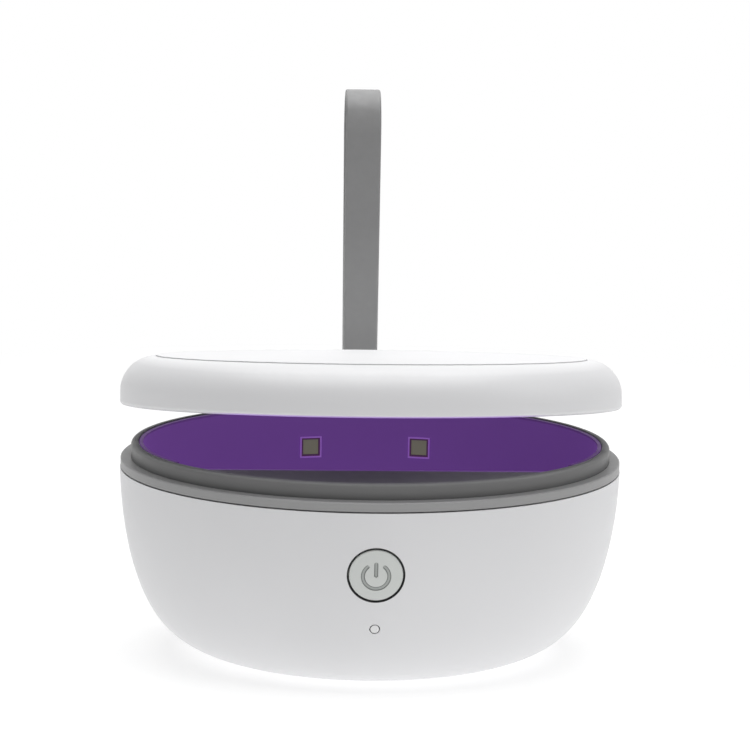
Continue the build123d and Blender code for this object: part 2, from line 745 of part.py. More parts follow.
# ================================================================ carrying strap
with BuildPart() as strap_clamp:
    with BuildSketch(strap_plane.offset(-clamp_half_x)):
        Circle(4.2)
        Rectangle(8.6, clamp_reach, align=(Align.CENTER, Align.MIN))
        with Locations((0, 6)):
            Rectangle(6.3, clamp_reach, align=(Align.CENTER, Align.MIN), mode=Mode.SUBTRACT)
        Circle(pin_radius + 0.06, mode=Mode.SUBTRACT)
    extrude(amount=2 * clamp_half_x)
    chamfer(strap_clamp.faces().sort_by(Axis.X)[0].edges(), 0.35)
    chamfer(strap_clamp.faces().sort_by(Axis.X)[-1].edges(), 0.35)
strap_clamp.part.label = "strap_clamp"
export_step(strap_clamp.part, "parts/strap_clamp.step")


def on_clamp(across, along):
    """World Y and Z of a point given across and along the clamp."""
    return (
        strap_pin_y + across * math.cos(strap_lean) + along * math.sin(strap_lean),
        strap_pin_z - across * math.sin(strap_lean) + along * math.cos(strap_lean),
    )


with BuildPart() as carry_strap:
    front_start = on_clamp(-strap_layer, 6.3)
    front_leave = on_clamp(-strap_layer, 15)
    front_radius = (strap_front_y - front_leave[0]) / (1 - math.cos(strap_lean))
    front_upright = (strap_front_y, front_leave[1] + front_radius * math.sin(strap_lean))
    rear_start = on_clamp(strap_layer, 6.3)
    rear_leave = (
        bend_y + strap_bend * math.cos(strap_lean),
        bend_z - strap_bend * math.sin(strap_lean),
    )
    with BuildLine(Plane.YZ.offset(strap_x)) as strap_route:
        lower_front = Line(front_start, front_leave)
        TangentArc(front_leave, front_upright, tangent=lower_front % 1)
        Line(front_upright, (strap_front_y, bend_z))
        ThreePointArc((strap_front_y, bend_z), (bend_y, bend_z + strap_bend), rear_leave)
        Line(rear_leave, rear_start)
    with BuildSketch(Plane(origin=strap_route.line @ 0, x_dir=(1, 0, 0), z_dir=strap_route.line % 0)):
        RectangleRounded(strap_width, strap_thickness, 0.9)
    sweep()
carry_strap.part.label = "carry_strap"
export_step(carry_strap.part, "parts/carry_strap.step")

# ================================================================ lid
with BuildPart() as lid_hollow:
    with BuildSketch(Plane.XY.offset(lid_base_z - 1)):
        Ellipse(half_length - wall, half_width - wall)
    extrude(amount=lid_ceiling_z - lid_base_z + 1)
    fillet(lid_hollow.faces().sort_by(Axis.Z)[-1].edges(), lid_shoulder - wall)

with BuildPart() as lid_shell:
    with BuildSketch(Plane.XY.offset(lid_base_z)):
        Ellipse(half_length, half_width)
    extrude(amount=lid_height)
    fillet(lid_shell.faces().sort_by(Axis.Z)[-1].edges(), lid_shoulder)
    fillet(lid_shell.faces().sort_by(Axis.Z)[0].edges(), lid_edge_round)
    add(lid_hollow.part, mode=Mode.SUBTRACT)
    with BuildSketch(Plane.XY.offset(lid_top_z - panel_recess)):
        Ellipse(half_length - lid_shoulder, half_width - lid_shoulder)
    extrude(amount=5, mode=Mode.SUBTRACT)
    # bosses for the liner's screws
    with BuildSketch(Plane.XY.offset(liner_top_z + fit_gap)):
        with Locations(*lid_screw_points):
            Circle(2.5)
    extrude(amount=lid_ceiling_z + 0.8 - liner_top_z)
    with BuildSketch(Plane.XY.offset(liner_top_z)):
        with Locations(*lid_screw_points):
            Circle(0.95)
    extrude(amount=6, mode=Mode.SUBTRACT)
    # hinge ears
    with BuildSketch(Plane.YZ.offset(ear_inner_x), Plane.YZ.offset(-ear_outer_x)):
        with Locations((pin_y, pin_z)):
            Circle(3.8)
            Rectangle(7.4, 3.8, align=(Align.MAX, Align.MIN))
    extrude(amount=ear_outer_x - ear_inner_x)
    with BuildSketch(Plane.YZ.offset(-20)):
        with Locations((pin_y, pin_z)):
            Circle(pin_radius + 0.06)
    extrude(amount=40, mode=Mode.SUBTRACT)
lid_shell.part.move(lid_rest)
lid_shell.part.label = "lid_shell"
export_step(lid_shell.part, "parts/lid_shell.step")

with BuildPart() as lid_top_panel:
    panel_x = half_length - lid_shoulder - 0.35
    panel_y = half_width - lid_shoulder - 0.35
    with BuildSketch(Plane.XY.offset(lid_top_z - panel_recess + fit_gap)):
        Ellipse(panel_x, panel_y)
    extrude(amount=panel_recess - fit_gap + panel_step)
    crown_sections = []
    for lean in (0, 25, 45, 65, 80):
        shrink = math.cos(math.radians(lean))
        rise = panel_step + crown * math.sin(math.radians(lean))
        crown_sections.append(oval(lid_top_z + rise, panel_x * shrink, panel_y * shrink))
    loft(crown_sections)
lid_top_panel.part.move(lid_rest)
lid_top_panel.part.label = "lid_top_panel"
export_step(lid_top_panel.part, "parts/lid_top_panel.step")

with BuildPart() as lid_liner:
    with BuildSketch(Plane.XY.offset(liner_z)):
        Ellipse(half_length - wall - 1.1, half_width - wall - 1.1)
        Ellipse(half_length - 12.6, half_width - 12.6, mode=Mode.SUBTRACT)
        with Locations(*lid_screw_points):
            Circle(1.1, mode=Mode.SUBTRACT)
    extrude(amount=liner_top_z - liner_z)
    with BuildSketch(Plane.XY.offset(liner_z)):
        Ellipse(half_length - 12.6, half_width - 12.6)
        Ellipse(half_length - 14.2, half_width - 14.2, mode=Mode.SUBTRACT)
    extrude(amount=lid_ceiling_z - 0.4 - liner_z)
lid_liner.part.move(lid_rest)
lid_liner.part.label = "lid_liner"
export_step(lid_liner.part, "parts/lid_liner.step")

with BuildPart() as lid_seal:
    with BuildSketch(Plane.XY.offset(liner_z)):
        Ellipse(half_length - 4.9, half_width - 4.9)
        Ellipse(half_length - 7.7, half_width - 7.7, mode=Mode.SUBTRACT)
    extrude(amount=-0.7)
lid_seal.part.move(lid_rest)
lid_seal.part.label = "lid_seal"
export_step(lid_seal.part, "parts/lid_seal.step")

with BuildPart() as lid_reflector:
    top_z = lid_ceiling_z - 0.2
    loft([
        oval(liner_z, half_length - 14.4, half_width - 14.4),
        oval(top_z, half_length - 20.4, half_width - 20.4),
    ])
    loft(
        [
            oval(liner_z - 0.1, half_length - 16, half_width - 16),
            oval(top_z - 1.5, half_length - 21.9, half_width - 21.9),
        ],
        mode=Mode.SUBTRACT,
    )
lid_reflector.part.move(lid_rest)
lid_reflector.part.label = "lid_reflector"
export_step(lid_reflector.part, "parts/lid_reflector.step")

with BuildPart() as lid_screws:
    with BuildSketch(Plane.XY.offset(liner_z)):
        with Locations(*lid_screw_points):
            Circle(1.6)
    extrude(amount=-1.0)
    with BuildSketch(Plane.XY.offset(liner_z)):
        with Locations(*lid_screw_points):
            Circle(0.85)
    extrude(amount=7)
lid_screws.part.move(lid_rest)
lid_screws.part.label = "lid_screws"
export_step(lid_screws.part, "parts/lid_screws.step")

with BuildPart() as lid_magnet:
    with BuildSketch(Plane.XY.offset(liner_top_z)):
        with Locations((0, lid_magnet_y)):
            Circle(magnet_radius)
    extrude(amount=2.4)
lid_magnet.part.move(lid_rest)
lid_magnet.part.label = "lid_magnet"
export_step(lid_magnet.part, "parts/lid_magnet.step")

with BuildPart() as sensor_magnet:
    with BuildSketch(Plane.XY.offset(liner_top_z)):
        with Locations((sensor_x, -61.5)):
            Circle(1.6)
    extrude(amount=2.0)
sensor_magnet.part.move(lid_rest)
sensor_magnet.part.label = "sensor_magnet"
export_step(sensor_magnet.part, "parts/sensor_magnet.step")
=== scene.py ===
import json
import math

import bmesh
import bpy
from mathutils import Matrix, Vector


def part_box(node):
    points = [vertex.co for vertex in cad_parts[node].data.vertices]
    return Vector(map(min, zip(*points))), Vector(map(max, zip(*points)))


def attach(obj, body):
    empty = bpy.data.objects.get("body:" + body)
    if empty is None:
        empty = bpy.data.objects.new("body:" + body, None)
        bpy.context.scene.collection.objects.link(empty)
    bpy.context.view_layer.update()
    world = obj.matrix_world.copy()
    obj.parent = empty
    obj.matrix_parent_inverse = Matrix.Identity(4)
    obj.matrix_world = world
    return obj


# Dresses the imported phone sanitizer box: a finish for every node, the charging socket's contacts
# that the solids leave out, plain studio light and the camera. Metres, Z up, +Y to the rear.

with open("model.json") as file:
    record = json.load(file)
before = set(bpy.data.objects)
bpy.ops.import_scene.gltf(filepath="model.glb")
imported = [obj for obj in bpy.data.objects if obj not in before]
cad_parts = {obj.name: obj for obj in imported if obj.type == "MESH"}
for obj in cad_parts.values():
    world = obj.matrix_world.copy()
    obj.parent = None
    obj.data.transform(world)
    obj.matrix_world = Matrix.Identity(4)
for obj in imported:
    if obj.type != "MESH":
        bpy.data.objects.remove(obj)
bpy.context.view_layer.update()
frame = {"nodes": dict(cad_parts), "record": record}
nodes = frame["nodes"]

# ---------------------------------------------------------------- camera
camera_place = (-0.0466, -1.0932, 0.3700)
camera_turn = 2.504         # degrees to the object's right of straight ahead
camera_fall = 12.943        # degrees down
camera_roll = 1.083         # degrees
camera_lens = 129.02        # millimetres
sensor_width = 36           # millimetres

# ---------------------------------------------------------------- where finishes change
# A pair is where a change begins and where it ends.
mark_z = 0.0534                         # centre of the button and of its power mark
button_hole_painted_shade_edge = (0.01162, 0.01170)   # distance from that centre where the painted shade of the button's hole starts and ends
bowl_front = (-0.02, 0.0)               # Y
hole_out_of_reach = 0.1                 # added to the distance behind the bowl's front
mark_arc_radius = 0.00525
mark_arc_drop = -0.0004                 # the arc's centre, from the mark's
mark_arc_tips = (0.0041, 0.0042)        # heights above the mark's centre
mark_bar_foot = (-0.0020, -0.0019)
mark_painted_shade_edge = (0.00030, 0.00058)   # painted shade: distance from the middle of a stroke
mark_out_of_reach = 0.01                # added to the distance past a stroke's end
tub_ends = (-0.09, 0.09)                # X
tub_rim = (0.0885, 0.0893)              # Z, from the lining's wall to its top face
ledge_half_length = 0.097               # the ledge's oval outline, where the lip rises
ledge_half_width = 0.0655
ledge_to_lip = (0.75, 1.01)             # shares of that oval
near_lip_share = 0.88                   # where the ledge's painted light is palest, as a share of the way
# painted light on the tray's upward faces at its front: where it ends towards the rear, and how far
# up a face must turn
tray_painted_light_front = (-0.035, -0.015)           # Y
tray_painted_light_upward = (0.35, 0.95)              # Z of the surface's direction
# painted light on the lid: violet on the underside over the tub's front, a highlight on upward faces
# and shade on downward faces
lid_painted_violet_front = (-0.02, 0.0)                # Y
lid_painted_violet_over_tub = (0.055, 0.070)           # X to either side
lid_painted_highlight_upward = (0.82, 0.98)
lid_painted_shade_downward = (-0.75, -0.25)
strap_rise = (0.105, 0.224)             # Z, from behind the lid's crown to the top bend

# ---------------------------------------------------------------- grain and shading
# A scale is a noise's, and its grains are about 1/scale metres across. A depth is a bump's.
flow_scale = 9.0
flow_change = 0.03
gloss_scale = 160.0
gloss_change = 0.05
grain_scale = 2600.0
grain_depth = 0.000012
coat_roughness = 0.12
hole_painted_shade_share = 0.05                  # painted shade: the bowl's colour left on the wall of the button's hole
mark_grain_depth = 0.00001

tub_flow_scale = 7.0
tub_flow_change = 0.06
tub_grain_depth = 0.000008
tub_sheen = 0.5                         # specular level of the tub's walls
rim_sheen = 0.06                        # and of their top face
# painted shade on the lining's top face: the shares of its colour and of its glow left there
rim_painted_shade_share = 0.45
rim_painted_glow_share = 0.85
glow_scale = 14.0
glow_change = 0.08
right_painted_glow_share = 0.82                 # painted light: share of the glow left at the tub's right end

matt_scale = 300.0
matt_change = 0.08
tooth_scale = 1800.0
tooth_depth = 0.00003
mottle_scale = 60.0
mottle_change = 0.12
strap_mottle_scale = 240.0
strap_mottle_change = 0.04
# painted light along the strap, from its foot behind the lid's crown to a painted highlight on its
# top bend
strap_foot_painted_light_tint = 1.75
strap_painted_light_tints = ((0.50, 1.12), (0.88, 0.96), (0.94, 0.78))    # share of the rise, and tint
strap_top_painted_highlight_tint = 1.38

wear_scale = 180.0
line_scale = 2200.0
line_depth = 0.000006

track_scale = 160.0
track_gap = 0.035
track_depth = 0.00002
board_greens = (0.012, 0.105, 0.040), (0.016, 0.130, 0.050), (0.030, 0.210, 0.080)
mask_roughness = 0.38
pad_scale = 420.0
pad_edge = (0.10, 0.12)
pad_tin = (0.55, 0.55, 0.52)
tin_roughness = 0.28

# ---------------------------------------------------------------- charging socket's contacts
contact_count = 10
contact_pitch = 0.00058
contact_size = (0.00030, 0.0042, 0.00008)
contact_depth = 0.0038                  # middle of a contact, in from the socket's mouth
contact_rounding = 0.00003
tongue_half = 0.00035                   # half the tongue's thickness

# ---------------------------------------------------------------- stage and light
floor_half = 14.0
floor_tones = (0.52, 0.52, 0.52), (0.54, 0.54, 0.54)
floor_fill = 0.86                       # the light table's glow as it lights the object
floor_glow = 0.62                       # and as it is seen, so that the shadow shows
shadow_end = (0.30, 0.60)               # distance from the object where the table turns white
tent_color = (0.98, 0.99, 1.0, 1)
tent_strength = 0.088


def make_camera():
    """The product-shot camera: long lens, a little above the lid."""
    data = bpy.data.cameras.new("camera")
    data.sensor_width = sensor_width
    data.lens = camera_lens
    camera = bpy.data.objects.new("camera", data)
    bpy.context.scene.collection.objects.link(camera)
    heading = Matrix.Rotation(math.radians(-camera_turn), 4, "Z")
    fall = Matrix.Rotation(math.radians(90 - camera_fall), 4, "X")
    roll = Matrix.Rotation(math.radians(camera_roll), 4, "Z")
    camera.matrix_world = Matrix.Translation(camera_place) @ heading @ fall @ roll
    bpy.context.scene.camera = camera


# ---------------------------------------------------------------- shader helpers
def tint(color, factor):
    """A colour made lighter or darker."""
    return tuple(min(1.0, channel * factor) for channel in color)


class Shader:
    """A material's node tree with its Principled shader, and short ways to add to it."""

    def __init__(self, name):
        self.material = bpy.data.materials.new(name)
        self.material.use_nodes = True
        self.tree = self.material.node_tree
        self.surface = self.tree.nodes["Principled BSDF"]
        self.place = self.add("ShaderNodeTexCoord").outputs["Object"]

    def add(self, kind, **settings):
        node = self.tree.nodes.new(kind)
        for key, value in settings.items():
            setattr(node, key, value)
        return node

    def join(self, source, target):
        self.tree.links.new(source, target)

    def axes(self, vector):
        """A vector's parts, by the names X, Y and Z."""
        node = self.add("ShaderNodeSeparateXYZ")
        self.join(vector, node.inputs["Vector"])
        return node.outputs

    def facing_z(self):
        """How far the surface faces up: 1 is straight up and -1 straight down."""
        return self.axes(self.add("ShaderNodeTexCoord").outputs["Normal"])["Z"]

    def noise(self, scale, detail=3.0, stretch=None):
        """Noise with its grains 1/scale metres across, stretched along an axis if asked."""
        texture = self.add("ShaderNodeTexNoise")
        texture.inputs["Scale"].default_value = scale
        texture.inputs["Detail"].default_value = detail
        source = self.place
        if stretch:
            mapping = self.add("ShaderNodeMapping")
            mapping.inputs["Scale"].default_value = stretch
            self.join(self.place, mapping.inputs["Vector"])
            source = mapping.outputs["Vector"]
        self.join(source, texture.inputs["Vector"])
        return texture.outputs["Fac"]

    def ramp(self, source, low, high, start=0.3, end=0.7):
        """Colour from low to high as source goes from start to end."""
        ramp = self.add("ShaderNodeValToRGB")
        first, last = ramp.color_ramp.elements
        first.position, first.color = start, (*low, 1)
        last.position, last.color = end, (*high, 1)
        self.join(source, ramp.inputs["Fac"])
        return ramp.outputs["Color"]

    def span(self, source, low, high, start=0.3, end=0.7):
        """Number from low to high as source goes from start to end."""
        span = self.add("ShaderNodeMapRange")
        span.inputs["From Min"].default_value = start
        span.inputs["From Max"].default_value = end
        span.inputs["To Min"].default_value = low
        span.inputs["To Max"].default_value = high
        self.join(source, span.inputs["Value"])
        return span.outputs["Result"]

    def blend(self, share, first, second):
        """Colour that goes from the first to the second as share goes from 0 to 1."""
        blend = self.add("ShaderNodeMix", data_type="RGBA")
        self.join(share, blend.inputs["Factor"])
        self.join(first, blend.inputs["A"])
        self.join(second, blend.inputs["B"])
        return blend.outputs["Result"]

    def shade(self, color, share):
        """The colour darkened to a share of itself."""
        blend = self.add("ShaderNodeMix", data_type="RGBA", blend_type="MULTIPLY")
        blend.inputs["Factor"].default_value = 1.0
        self.join(color, blend.inputs["A"])
        self.join(share, blend.inputs["B"])
        return blend.outputs["Result"]

    def math(self, operation, *terms):
        """Result of a sum on numbers, or on other nodes' outputs."""
        node = self.add("ShaderNodeMath", operation=operation)
        for socket, term in zip(node.inputs, terms):
            if isinstance(term, (int, float)):
                socket.default_value = term
            else:
                self.join(term, socket)
        return node.outputs["Value"]

    def length(self, first, second):
        """Length of the vector with those two parts."""
        squares = [self.math("MULTIPLY", part, part) for part in (first, second)]
        return self.math("SQRT", self.math("ADD", *squares))

    def bump(self, source, depth):
        """Bump of that depth in metres."""
        bump = self.add("ShaderNodeBump")
        bump.inputs["Strength"].default_value = 1.0
        bump.inputs["Distance"].default_value = depth
        self.join(source, bump.inputs["Height"])
        return bump.outputs["Normal"]

    def flow(self, color, change=flow_change, scale=flow_scale):
        """The colour with the faint shading of plastic that flowed into its mould."""
        source = self.noise(scale, detail=2.0)
        return self.ramp(source, tint(color, 1 - change), tint(color, 1 + change))

    def gloss(self, roughness):
        """Moulded plastic's roughness, a little uneven."""
        patches = self.noise(gloss_scale, detail=4.0)
        return self.span(patches, roughness - gloss_change, roughness + gloss_change)

    def grain(self, depth=grain_depth):
        """Spark-eroded grain of a mould."""
        return self.bump(self.noise(grain_scale, detail=2.0), depth)

    def matt_gloss(self, roughness):
        """Rubber's roughness, in fine patches."""
        patches = self.noise(matt_scale)
        return self.span(patches, roughness - matt_change, roughness + matt_change)

    def tooth(self):
        """Fine moulded tooth of rubber."""
        return self.bump(self.noise(tooth_scale, detail=4.0), tooth_depth)

    def set(self, **numbers):
        """Sets the shader's own sockets: underscores stand for spaces."""
        for key, value in numbers.items():
            self.surface.inputs[key.replace("_", " ")].default_value = value

    def finish(self, color, roughness=None, normal=None):
        """Joins what is given to the shader, and returns the material."""
        self.join(color, self.surface.inputs["Base Color"])
        if roughness is not None:
            self.join(roughness, self.surface.inputs["Roughness"])
        if normal is not None:
            self.join(normal, self.surface.inputs["Normal"])
        return self.material


# ---------------------------------------------------------------- materials
def moulded_plastic(name, color, roughness, change=flow_change, coat=0.0):
    """Injection-moulded plastic: spark-eroded grain, faint flow shading, uneven gloss."""
    shader = Shader(name)
    shader.set(Coat_Weight=coat, Coat_Roughness=coat_roughness)
    return shader.finish(shader.flow(color, change), shader.gloss(roughness), shader.grain())


def bowl_plastic(name, color, roughness):
    """The bowl's white moulded plastic, with painted shade on the wall of its button hole."""
    shader = Shader(name)
    place = shader.axes(shader.place)
    reach = shader.length(place["X"], shader.math("SUBTRACT", place["Z"], mark_z))
    # only the front of the bowl has the hole
    behind = shader.span(place["Y"], 0.0, hole_out_of_reach, *bowl_front)
    reach = shader.math("ADD", reach, behind)
    # painted shade: the wall of the button's hole darkened to a small share of the bowl's colour
    painted_hole_shade_share = shader.span(reach, hole_painted_shade_share, 1.0, *button_hole_painted_shade_edge)
    tone = shader.shade(shader.flow(color), painted_hole_shade_share)
    return shader.finish(tone, shader.gloss(roughness), shader.grain())


def painted_glow_plastic(name, color, glow, strength, roughness=0.39, see_through=0.0):
    """Plastic with a dim painted glow in place of the lamps' light, weaker towards the tub's right
    end; at the tub's rim it is matt, and its colour and glow are darkened as painted shade.
    """
    shader = Shader(name)
    place = shader.axes(shader.place)
    inside = shader.span(place["Z"], 1.0, 0.0, *tub_rim)
    even = shader.flow(color, tub_flow_change, tub_flow_scale)
    # painted shade: the rim's top face, which the overhead light reaches, darkened to a share of its
    # colour
    tone = shader.shade(even, shader.span(inside, rim_painted_shade_share, 1.0, 0.0, 1.0))
    sheen = shader.span(inside, rim_sheen, tub_sheen, 0.0, 1.0)
    shader.join(sheen, shader.surface.inputs["Specular IOR Level"])
    # painted glow: emission in place of the lamps' light, mottled, weaker towards the tub's right end
    # and, as painted shade, at the rim
    light = shader.ramp(shader.noise(glow_scale, detail=3.0), tint(glow, 1 - glow_change), glow)
    painted_glow_to_right = shader.span(place["X"], 1.0, right_painted_glow_share, *tub_ends)
    share = shader.math("MULTIPLY", painted_glow_to_right, shader.span(inside, rim_painted_glow_share, 1.0, 0.0, 1.0))
    shader.join(shader.shade(light, share), shader.surface.inputs["Emission Color"])
    shader.set(Emission_Strength=strength, Transmission_Weight=see_through)
    return shader.finish(tone, shader.gloss(roughness), shader.grain(tub_grain_depth))


def tray_plastic(name, side, ledge, near_lip, crest, roughness):
    """Grey moulded plastic, with painted light on the top faces at its front."""
    shader = Shader(name)
    place = shader.axes(shader.place)
    # painted light: the upward faces at the front take the ledge-to-crest colours
    upward = shader.span(shader.facing_z(), 0.0, 1.0, *tray_painted_light_upward)
    share = shader.math("MULTIPLY", upward, shader.span(place["Y"], 1.0, 0.0, *tray_painted_light_front))
    # 1 along the ledge's oval outline
    outward = shader.length(
        shader.math("MULTIPLY", place["X"], 1 / ledge_half_length),
        shader.math("MULTIPLY", place["Y"], 1 / ledge_half_width),
    )
    top = shader.ramp(shader.span(outward, 0.0, 1.0, *ledge_to_lip), ledge, crest, 0.0, 1.0)
    top.node.color_ramp.elements.new(near_lip_share).color = (*near_lip, 1)
    tone = shader.blend(share, shader.flow(side), top)
    return shader.finish(tone, shader.gloss(roughness), shader.grain())


def lid_plastic(name, color, top, edge, underside, roughness):
    """White moulded plastic, with a painted highlight on top, painted shade on its lower edge and
    painted violet light over the tub.
    """
    shader = Shader(name)
    facing_z = shader.facing_z()
    place = shader.axes(shader.place)
    # painted highlight: upward faces take the panel's paler white
    above = shader.ramp(shader.span(facing_z, 0.0, 1.0, *lid_painted_highlight_upward), color, top, 0.0, 1.0)
    flow = shader.span(shader.noise(flow_scale, detail=2.0), 1 - flow_change, 1.0)
    # painted violet light on the underside over the tub's front
    over_tub = shader.span(shader.math("ABSOLUTE", place["X"]), 1.0, 0.0, *lid_painted_violet_over_tub)
    at_front = shader.span(place["Y"], 1.0, 0.0, *lid_painted_violet_front)
    below = shader.ramp(shader.math("MULTIPLY", over_tub, at_front), edge, underside, 0.0, 1.0)
    # painted shade on the downward faces, away from the tub
    painted_shade_share = shader.span(facing_z, 1.0, 0.0, *lid_painted_shade_downward)
    tone = shader.blend(painted_shade_share, shader.shade(above, flow), below)
    return shader.finish(tone, shader.gloss(roughness), shader.grain())


def rubber(name, color, roughness):
    """Matt rubber, mottled, with a fine moulded tooth."""
    shader = Shader(name)
    mottle = shader.noise(mottle_scale, detail=5.0)
    tone = shader.ramp(mottle, tint(color, 1 - mottle_change), tint(color, 1 + mottle_change))
    return shader.finish(tone, shader.matt_gloss(roughness), shader.tooth())


def strap_silicone(name, color, roughness):
    """Matt silicone, paler at its foot by the lid and over the top bend: painted light against the
    lid's shade, and a painted highlight on the bend.
    """
    shader = Shader(name)
    place = shader.axes(shader.place)
    rise = shader.span(place["Z"], 0.0, 1.0, *strap_rise)
    # painted light: tints along the strap's height
    even = shader.ramp(rise, tint(color, strap_foot_painted_light_tint), tint(color, strap_top_painted_highlight_tint), 0.0, 1.0)
    for share, factor in strap_painted_light_tints:
        even.node.color_ramp.elements.new(share).color = (*tint(color, factor), 1)
    mottle = shader.span(shader.noise(strap_mottle_scale, detail=5.0), 1 - strap_mottle_change, 1.0)
    return shader.finish(shader.shade(even, mottle), shader.matt_gloss(roughness), shader.tooth())


def inlaid_symbol(name, core, edge, roughness):
    """Plastic inlay of the power mark, with painted shade along both sides of its recessed strokes.
    """
    shader = Shader(name)
    place = shader.axes(shader.place)
    across = shader.math("ABSOLUTE", place["X"])
    height = shader.math("SUBTRACT", place["Z"], mark_z)
    reach = shader.length(across, shader.math("SUBTRACT", height, mark_arc_drop))
    off_arc = shader.math("ABSOLUTE", shader.math("SUBTRACT", reach, mark_arc_radius))
    # the arc stops below the bar's top, and the bar stops above the arc's bottom
    above_arc = shader.span(height, 0.0, mark_out_of_reach, *mark_arc_tips)
    below_bar = shader.span(height, mark_out_of_reach, 0.0, *mark_bar_foot)
    off_arc = shader.math("ADD", off_arc, above_arc)
    off_bar = shader.math("ADD", across, below_bar)
    off_stroke = shader.math("MINIMUM", off_arc, off_bar)
    # painted shade: the strokes' sides take the darker edge colour
    tone = shader.ramp(shader.span(off_stroke, 0.0, 1.0, *mark_painted_shade_edge), core, edge, 0.0, 1.0)
    return shader.finish(tone, shader.gloss(roughness), shader.grain(mark_grain_depth))


def metal(name, color, roughness, stretch=(1.0, 1.0, 12.0), wear=0.08):
    """Drawn or turned metal with fine lines and small dull patches."""
    shader = Shader(name)
    tone = shader.ramp(shader.noise(wear_scale), tint(color, 1 - wear), tint(color, 1 + wear))
    lines = shader.noise(line_scale, detail=2.0, stretch=stretch)
    gloss = shader.span(lines, roughness - wear, roughness + wear)
    shader.set(Metallic=1.0)
    return shader.finish(tone, gloss, shader.bump(lines, line_depth))


def circuit_board(name):
    """Green solder mask over copper tracks, with small tinned pads."""
    shader = Shader(name)
    tracks = shader.add("ShaderNodeTexBrick")
    tracks.inputs["Scale"].default_value = track_scale
    tracks.inputs["Mortar Size"].default_value = track_gap
    for socket, color in zip(("Color1", "Color2", "Mortar"), board_greens):
        tracks.inputs[socket].default_value = (*color, 1)
    shader.join(shader.place, tracks.inputs["Vector"])
    cells = shader.add("ShaderNodeTexVoronoi", distance="CHEBYCHEV")
    cells.inputs["Scale"].default_value = pad_scale
    shader.join(shader.place, cells.inputs["Vector"])
    pads = shader.span(cells.outputs["Distance"], 1.0, 0.0, *pad_edge)
    tin = shader.add("ShaderNodeRGB").outputs["Color"]
    tin.default_value = (*pad_tin, 1)
    tone = shader.blend(pads, tracks.outputs["Color"], tin)
    gloss = shader.span(pads, mask_roughness, tin_roughness, 0.0, 1.0)
    return shader.finish(tone, gloss, shader.bump(tracks.outputs["Fac"], track_depth))


white = (0.71, 0.71, 0.72)
panel_white = (0.84, 0.84, 0.85)
# painted shade on the lid's downward faces, and painted violet light on them over the tub
lid_painted_shade_grey = (0.50, 0.50, 0.51)
lid_painted_violet_light = (0.42, 0.26, 0.66)
tray_grey = (0.147, 0.147, 0.147)
# painted light on the tray's top faces at its front: over the ledge, near the lip and on the crest
ledge_painted_light_grey = (0.240, 0.247, 0.226)
near_lip_painted_light_grey = (0.280, 0.287, 0.268)
crest_painted_light_grey = (0.245, 0.248, 0.243)

finishes = {
    "white_shell": moulded_plastic("white_shell", white, 0.42),
    "white_panel": moulded_plastic("white_panel", panel_white, 0.55),
    "grey_trim": moulded_plastic("grey_trim", (0.295, 0.295, 0.295), 0.42),
    "grey_plastic": moulded_plastic("grey_plastic", (0.25, 0.25, 0.255), 0.45),
    "button_plastic": moulded_plastic("button_plastic", (0.60, 0.62, 0.60), 0.40),
    "led_ceramic": moulded_plastic("led_ceramic", (0.30, 0.27, 0.20), 0.5, change=0.12),
    "clear_lens": moulded_plastic("clear_lens", (0.73, 0.73, 0.73), 0.25, coat=0.5),
    "chip_black": moulded_plastic("chip_black", (0.022, 0.022, 0.024), 0.5),
    "cell_sleeve": moulded_plastic("cell_sleeve", (0.05, 0.16, 0.42), 0.22, coat=0.4),
    # painted glow on the lining, the window frames, the seals and the quartz windows, which are no
    # lamps
    "violet_plastic": painted_glow_plastic(
        "violet_plastic", (0.20, 0.08, 0.36), (0.53, 0.22, 0.88), 0.154
    ),
    "pale_violet_trim": painted_glow_plastic(
        "pale_violet_trim", (0.42, 0.33, 0.55), (0.60, 0.22, 1.0), 0.275
    ),
    # the seals are a dark gasket whose colour also stands in for the shade in the window recesses
    "violet_seal": painted_glow_plastic(
        "violet_seal", (0.10, 0.05, 0.10), (1.0, 0.40, 1.0), 0.035, roughness=0.6
    ),
    "quartz": painted_glow_plastic(
        "quartz", (0.28, 0.27, 0.22), (0.95, 1.0, 0.60), 0.090, roughness=0.22, see_through=0.25
    ),
    "symbol_grey": inlaid_symbol("symbol_grey", (0.38, 0.40, 0.385), (0.17, 0.18, 0.175), 0.48),
    "grey_silicone": strap_silicone("grey_silicone", (0.236, 0.236, 0.237), 0.62),
    "dark_rubber": rubber("dark_rubber", (0.018, 0.018, 0.020), 0.7),
    "mirror_plastic": metal("mirror_plastic", (0.80, 0.80, 0.83), 0.36, (6.0, 1.0, 1.0), 0.015),
    "screw_steel": metal("screw_steel", (0.62, 0.62, 0.63), 0.30),
    "socket_steel": metal("socket_steel", (0.66, 0.66, 0.67), 0.24),
    "magnet_nickel": metal("magnet_nickel", (0.68, 0.66, 0.62), 0.15),
    "circuit_board": circuit_board("circuit_board"),
}

# nodes whose finish changes from place to place, and takes the place of their slot's
own_finishes = {
    "base_shell": bowl_plastic("bowl_white_painted_hole_shade", white, 0.42),
    # the lid takes the panel's white as a painted highlight on its upward faces
    "lid_shell": lid_plastic(
        "lid_white_painted_light", tint(white, 1.01), panel_white, lid_painted_shade_grey, lid_painted_violet_light, 0.42
    ),
    "inner_tray": tray_plastic(
        "tray_grey", tray_grey, ledge_painted_light_grey, near_lip_painted_light_grey, crest_painted_light_grey, 0.45
    ),
}


def dress_nodes():
    """Gives every node its own finish, or the one of its slot in the record."""
    for subpart in frame["record"]["subparts"]:
        node = subpart["node"]
        mesh = nodes[node].data
        mesh.materials.clear()
        mesh.materials.append(own_finishes.get(node) or finishes[subpart["material_slot"]])


